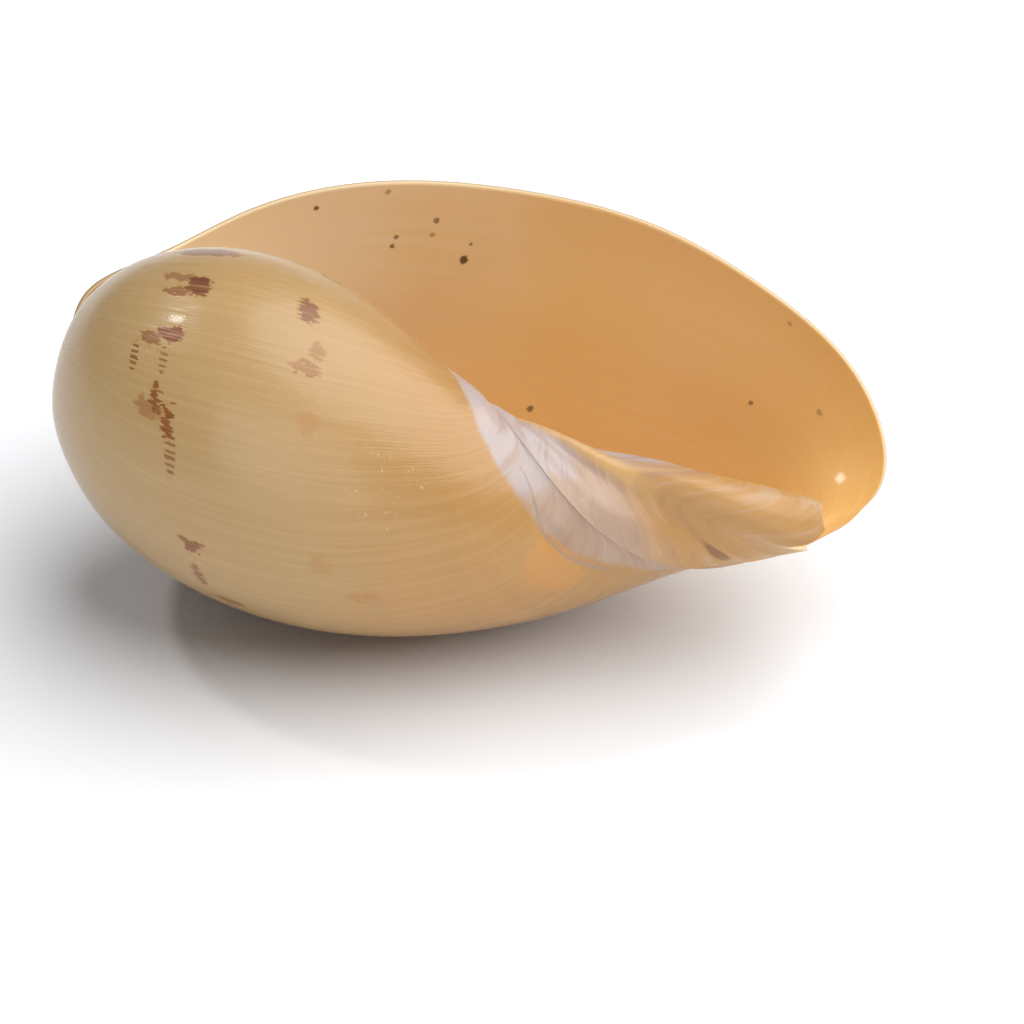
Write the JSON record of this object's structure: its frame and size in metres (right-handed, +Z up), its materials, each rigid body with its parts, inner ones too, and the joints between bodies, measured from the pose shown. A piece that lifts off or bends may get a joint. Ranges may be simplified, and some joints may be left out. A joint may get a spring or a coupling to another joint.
{
  "type": "melon shell",
  "caption": "Large smooth melon shell, an egg-shaped sea snail shell with a wide open mouth and a folded pillar.",
  "frame": {"origin": "centre of the small flat spot on the back of the shell, which it rests on", "axes": "+X along the shell's length towards the tip of the canal, +Y towards the outer lip, +Z up out of the mouth as the shell lies at rest"},
  "size_m": [0.2437, 0.1529, 0.1189],
  "materials": {
    "shell": "glossy cream and tan outside, satin apricot inside, white glaze on the folds of the pillar"
  },
  "bodies": {
    "root": {"melon_shell": "shell"}
  },
  "joints": []
}
